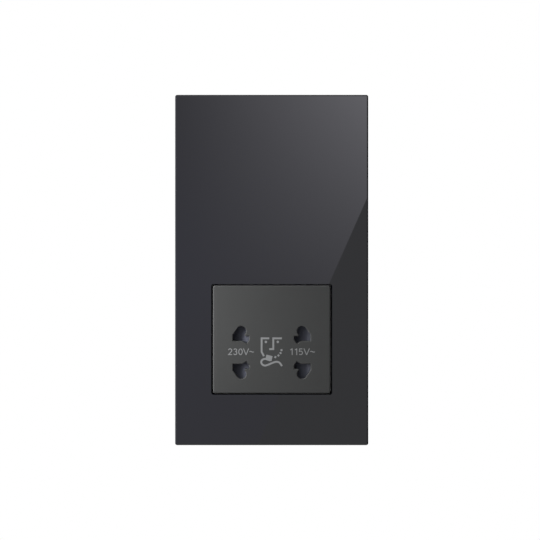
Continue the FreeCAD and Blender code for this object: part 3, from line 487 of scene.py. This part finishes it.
# Each sign is drawn on a body one unit high: its width, then its strokes.
glyphs = {
    "0": (0.78, [arc((0.39, 0.5), (0.26, 0.44), 90, 450, 24)]),
    "1": (0.66, [[(0.46, 0.0), (0.46, 1.0)], [(0.46, 0.96), (0.20, 0.76)]]),
    "2": (0.78, [np.vstack([arc((0.38, 0.70), (0.25, 0.24), 170, -35), [(0.13, 0.065), (0.67, 0.065)]])]),
    "3": (0.78, [arc((0.37, 0.735), (0.22, 0.205), 160, -90), arc((0.37, 0.295), (0.25, 0.235), 90, -160)]),
    "5": (0.78, [[(0.62, 0.935), (0.21, 0.935), (0.175, 0.47)],
                 arc((0.37, 0.33), (0.26, 0.27), 126, -140)]),
    "V": (0.90, [[(0.05, 1.0), (0.45, 0.02)], [(0.85, 1.0), (0.45, 0.02)]]),
    "~": (0.80, [wave(0.06, 0.74, 0.5, 0.06)]),
}
voltageMarks = {
    "mark_230": {"signs": "230V~", "centre": (-13.73 * mm, -36.35 * mm), "size": (11.8, 3.0)},
    "mark_115": {"signs": "115V~", "centre": (13.75 * mm, -36.35 * mm), "size": (11.1, 3.0)},
}
glyphStroke = 0.12


def makeMark(name, look):
    # The signs stand side by side, then the whole row is stretched to its size.
    outlines = []
    place = 0.0
    for sign in look["signs"]:
        width, strokes = glyphs[sign]
        outlines += [strokeOutline(stroke, glyphStroke) + (place, 0.0) for stroke in strokes]
        place += width
    every = np.vstack(outlines)
    low, high = every.min(axis=0), every.max(axis=0)
    stretch = np.array(look["size"]) / (high - low)
    return inkSlabs(name, [(outline - (low + high) / 2) * stretch for outline in outlines], look["centre"])


makeShaverSign()
for markName, markLook in voltageMarks.items():
    makeMark(markName, markLook)
print("print: sign and voltage marks")


# Threads of the two fixing screws

threadLook = {"pitch": 0.6 * mm, "height": 0.09 * mm, "sunk": 0.05 * mm, "foot": 0.3, "tip": 0.05,
              "radius": 1.75 * mm, "start": 2.4 * mm, "end": 35.0 * mm, "steps": 24, "centres": 120.6 * mm}


def makeThread(name, z):
    # A triangular ridge wound round the shank: angle grows by a full turn for each pitch along y. Its
    # foot lies a little under the shank's surface, and it grows from its tips over half a turn.
    look = threadLook
    turns = (look["end"] - look["start"]) / look["pitch"] - 1
    turn = np.linspace(0, turns * 2 * math.pi, int(turns * look["steps"]))
    y = look["start"] + look["pitch"] * (turn / (2 * math.pi) + 0.5)
    rise = look["radius"] + np.array([-look["sunk"], look["height"], -look["sunk"]])
    slide = np.array([-look["foot"], 0.0, look["foot"]]) * look["pitch"]
    taper = np.clip(np.minimum(turn, turn[-1] - turn) / math.pi, look["tip"], 1.0)
    radius = look["radius"] - look["sunk"] + taper[:, None] * (rise - look["radius"] + look["sunk"])
    points = np.stack([radius * np.cos(turn)[:, None], y[:, None] + slide * taper[:, None],
                       z + radius * np.sin(turn)[:, None]], axis=2).reshape(-1, 3)
    ring = np.arange(len(turn) - 1)[:, None] * 3
    quads = [np.hstack([ring + i, ring + (i + 1) % 3, ring + 3 + (i + 1) % 3, ring + 3 + i])
             for i in range(3)]
    faces = np.vstack(quads).tolist()
    last = (len(turn) - 1) * 3
    faces += [[2, 1, 0], [last, last + 1, last + 2]]
    return meshPiece(name, points, faces, finishes["bright_steel"])


makeThread("thread_upper", threadLook["centres"] / 2)
makeThread("thread_lower", -threadLook["centres"] / 2)
print("threads: 2")


# Return springs of the two shutters

springLook = {"turns": 6, "radius": 1.3 * mm, "wire": 0.22 * mm, "gap": 0.1 * mm, "endPitch": 0.46 * mm,
              "steps": 32, "sides": 12, "sharp": 40}


def makeSpring(name, node, shutter, joint):
    # A coil along x: the angle grows by a full turn for each pitch, which is small in the closed turn
    # at each end. A circle is carried along it, with one arm of its frame pointing out from the axis.
    look = springLook
    low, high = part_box(node)
    last = look["turns"]
    length = high.x - low.x - 2 * look["wire"]
    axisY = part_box(shutter)[1].y - look["gap"] - look["wire"] - look["radius"]
    axisZ = (low.z + high.z) / 2
    turn = np.linspace(0, last, last * look["steps"] + 1)
    x = np.interp(turn, [0, 1, last - 1, last], [0, look["endPitch"], length - look["endPitch"], length])
    flat = np.zeros(len(turn))
    outward = np.column_stack([flat, np.cos(2 * math.pi * turn), np.sin(2 * math.pi * turn)])
    middle = np.column_stack([low.x + look["wire"] + x, flat + axisY, flat + axisZ])
    path = middle + outward * look["radius"]
    along = np.gradient(path, axis=0)
    along /= np.linalg.norm(along, axis=1)[:, None]
    across = np.cross(along, outward)
    section = np.linspace(0, 2 * math.pi, look["sides"], endpoint=False)[None, :, None]
    points = path[:, None] + look["wire"] * (np.cos(section) * outward[:, None]
                                             + np.sin(section) * across[:, None])
    side = np.arange(look["sides"])
    ring = np.arange(len(turn) - 1)[:, None] * look["sides"]
    here, beside = ring + side, ring + np.roll(side, -1)
    quads = np.stack([here, beside, beside + look["sides"], here + look["sides"]], axis=2)
    faces = quads.reshape(-1, 4).tolist()
    faces += [side[::-1].tolist(), ((len(turn) - 1) * look["sides"] + side).tolist()]
    spring = meshPiece(name, points.reshape(-1, 3), faces, finishes["bright_steel"])
    spring.data.shade_smooth()
    spring.data.set_sharp_from_angle(angle=math.radians(look["sharp"]))
    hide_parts(node)
    travel = next(slide["range_m"][1] for slide in frame["joints"] if slide["name"] == joint)
    room = high.x - low.x + 2 * look["gap"]
    1 - travel / room
    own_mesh(spring)


makeSpring("return_spring_230", "shutter_spring_230", "shutter_230", "shutter_230_slide")
makeSpring("return_spring_115", "shutter_spring_115", "shutter_115", "shutter_115_slide")
print("springs: 2")


# Studio

def stagePlane(name, corners, material):
    mesh = bpy.data.meshes.new(name)
    mesh.from_pydata(corners, [], [list(range(len(corners)))])
    mesh.materials.append(material)
    plane = bpy.data.objects.new(name, mesh)
    bpy.context.scene.collection.objects.link(plane)
    return plane


def onlyInReflections(plane):
    # Glossy rays are the only ones left that see the plane.
    plane.visible_camera = False
    plane.visible_diffuse = False
    plane.visible_shadow = False
    plane.visible_transmission = False


floorLook = {"x": 0.34, "front": -0.45, "back": 0.30, "z": -0.165, "colour": (0.80, 0.80, 0.79),
             "shade": 0.98, "cloud": 12.0, "clear": 0.10, "fade": 0.29}


def makeFloor():
    # The floor keeps the shadow near the object. Its distance from the middle, less clear and over
    # the width of the fade, turns it into the background's white further out.
    look = floorLook
    finish = Finish("paleFloor", {"Roughness": 0.8, "Specular IOR Level": 0.1})
    low = tuple(value * look["shade"] for value in look["colour"])
    finish.feed("Base Color", finish.blend(finish.noise(look["cloud"]), low, look["colour"]))
    reach = (finish.along("X") ** 2.0 + finish.along("Y") ** 2.0) ** 0.5
    far = ((reach - look["clear"]) / (look["fade"] - look["clear"])).maths("MAXIMUM").maths("MINIMUM", 1.0)
    seen = finish.start.node("ShaderNodeLightPath", output="Is Camera Ray")
    glossy = finish.start.node("ShaderNodeLightPath", output="Is Glossy Ray")
    white = finish.start.node("ShaderNodeEmission", None, {"Color": (1.0, 1.0, 1.0, 1.0), "Strength": 1.0})
    tree = finish.start.tree
    plain = Link(tree, finish.shader.outputs["BSDF"])
    mixed = finish.start.node("ShaderNodeMixShader", None, {
        0: far * seen.maths("MAXIMUM", glossy), 1: plain, 2: white})
    tree.links.new(mixed.socket, tree.nodes["Material Output"].inputs["Surface"])
    x, front, back, z = (look[key] for key in ("x", "front", "back", "z"))
    stagePlane("floor", [(-x, front, z), (x, front, z), (x, back, z), (-x, back, z)], finish.material)


glowCardLook = {"distance": 2.2, "gain": 2.22, "across": (51.6, 86.0, 1.3), "upward": (62.3, 135.8, 1.8),
                 "edgeTop": (42.6, 31.3), "edgeLow": (25.9, -6.4), "reach": 115.0, "left": -80.0,
                 "colour": (1.0, 0.99, 1.07)}


def makeGlowCard():
    # A tall card behind the camera that glows though it is no lamp, seen only in the glass. Its mirror
    # image on the plate grows by spread. Its brightness, a painted glow whose gradient gives the plate's
    # reflection, is 1 plus gain times two factors, one rising from the plate's left edge to its right and
    # one rising upwards; each is ((offset + distance) / length) to a power.
    look = glowCardLook
    spread = 1 + (look["distance"] + plateFront) / cameraLook["distance"]
    (topX, topZ), (lowX, lowZ) = look["edgeTop"], look["edgeLow"]
    slope = (topX - lowX) / (topZ - lowZ)

    def edgeX(z):
        return lowX + slope * (z - lowZ)

    reach = look["reach"]
    loop = [(look["left"], -reach), (look["left"], reach), (edgeX(reach), reach), (edgeX(-reach), -reach)]
    corners = [(x * mm * spread, -look["distance"], z * mm * spread) for x, z in loop]
    material = bpy.data.materials.new("glowCard")
    material.use_nodes = True
    tree = material.node_tree
    tree.nodes.clear()
    start = Link(tree)
    place = start.node("ShaderNodeTexCoord", output="Object")
    across = start.node("ShaderNodeSeparateXYZ", None, {"Vector": place}, output="X")
    upward = start.node("ShaderNodeSeparateXYZ", None, {"Vector": place}, output="Z")

    def climb(distance, offset, length, power):
        return (offset / length + distance / (length * mm * spread)).maths("MAXIMUM") ** power

    bright = 1.0 + look["gain"] * climb(across, *look["across"]) * climb(upward, *look["upward"])
    # Painted glow: an emission shader on a card that is no lamp.
    glow = start.node("ShaderNodeEmission", None, {"Color": (*look["colour"], 1.0), "Strength": bright})
    start.node("ShaderNodeOutputMaterial", None, {"Surface": glow})
    onlyInReflections(stagePlane("glow_card", corners, material))


flagLook = {"x": 0.22, "front": -0.12, "back": 0.12, "height": 0.25, "colour": (0.01, 0.01, 0.01)}


def makeFlag():
    # A black card to the right keeps the glass edge on that side dark.
    look = flagLook
    finish = Finish("blackFlag", {"Base Color": (*look["colour"], 1.0), "Roughness": 0.9,
                                  "Specular IOR Level": 0.0})
    x, front, back, height = (look[key] for key in ("x", "front", "back", "height"))
    corners = [(x, front, -height), (x, back, -height), (x, back, height), (x, front, height)]
    onlyInReflections(stagePlane("black_flag", corners, finish.material))


def aimAt(item, target):
    item.rotation_euler = (Vector(target) - item.location).to_track_quat("-Z", "Y").to_euler()


lampLook = {
    "near": {"place": (-0.085, -0.074, -0.010), "target": (0.0, -0.01, -0.03), "power": 0.142,
             "size": 0.06},
    "rim": {"place": (-0.43, -0.031, 0.20), "target": (0.0, -0.01, -0.03), "power": 6.0, "size": 0.04,
            "lights": ("socket_fascia", "glass_plate")},
    "low": {"place": (0.0, -0.029, -0.43), "target": (0.0, -0.01, -0.03), "power": 2.0, "size": 0.03,
            "lights": ("socket_fascia",)},
    "fill": {"place": (-0.35, -1.1, 0.35), "target": (0.0, 0.0, 0.0), "power": 2.2, "size": 0.8},
    "back": {"place": (0.6, 0.8, 0.7), "target": (0.0, 0.0, 0.0), "power": 9.0, "size": 0.7,
             "glossy": True},
}


def makeLamps():
    # Soft square lamps. Only the back one shows in reflections; two light the named nodes alone.
    for name, look in lampLook.items():
        light = bpy.data.lights.new(name, "AREA")
        light.energy = look["power"]
        light.size = look["size"]
        lamp = bpy.data.objects.new(name, light)
        bpy.context.scene.collection.objects.link(lamp)
        lamp.location = look["place"]
        aimAt(lamp, look["target"])
        lamp.visible_glossy = look.get("glossy", False)
        if "lights" in look:
            lit = bpy.data.collections.new(name + "Lights")
            for node in look["lights"]:
                lit.objects.link(nodes[node])
            lamp.light_linking.receiver_collection = lit


worldLook = {"ambient": 0.27}


def makeWorld():
    # White to the camera and in reflections and glass; a softer level lights the surfaces.
    world = bpy.data.worlds.new("studio")
    bpy.context.scene.world = world
    world.use_nodes = True
    tree = world.node_tree
    tree.nodes.clear()
    start = Link(tree)
    seen = start.node("ShaderNodeLightPath", output="Is Camera Ray")
    glossy = start.node("ShaderNodeLightPath", output="Is Glossy Ray")
    through = start.node("ShaderNodeLightPath", output="Is Transmission Ray")
    white = seen.maths("MAXIMUM", glossy).maths("MAXIMUM", through)
    strength = worldLook["ambient"] + white * (1.0 - worldLook["ambient"])
    sky = start.node("ShaderNodeBackground", None, {"Color": (1.0, 1.0, 1.0, 1.0), "Strength": strength})
    start.node("ShaderNodeOutputWorld", None, {"Surface": sky})


cameraLook = {"distance": 1.3355, "lens": 200.0, "sensor": 36.0, "x": -0.76 * mm}


def makeCamera():
    lens = bpy.data.cameras.new("camera")
    lens.lens = cameraLook["lens"]
    lens.sensor_width = cameraLook["sensor"]
    camera = bpy.data.objects.new("camera", lens)
    bpy.context.scene.collection.objects.link(camera)
    camera.location = (cameraLook["x"], plateFront - cameraLook["distance"], 0.0)
    camera.rotation_euler = (math.pi / 2, 0.0, 0.0)
    bpy.context.scene.camera = camera


makeFloor()
makeGlowCard()
makeFlag()
makeLamps()
makeWorld()
makeCamera()
bpy.context.scene.view_settings.view_transform = "Standard"
print("studio: floor, cards, lamps, world and camera")
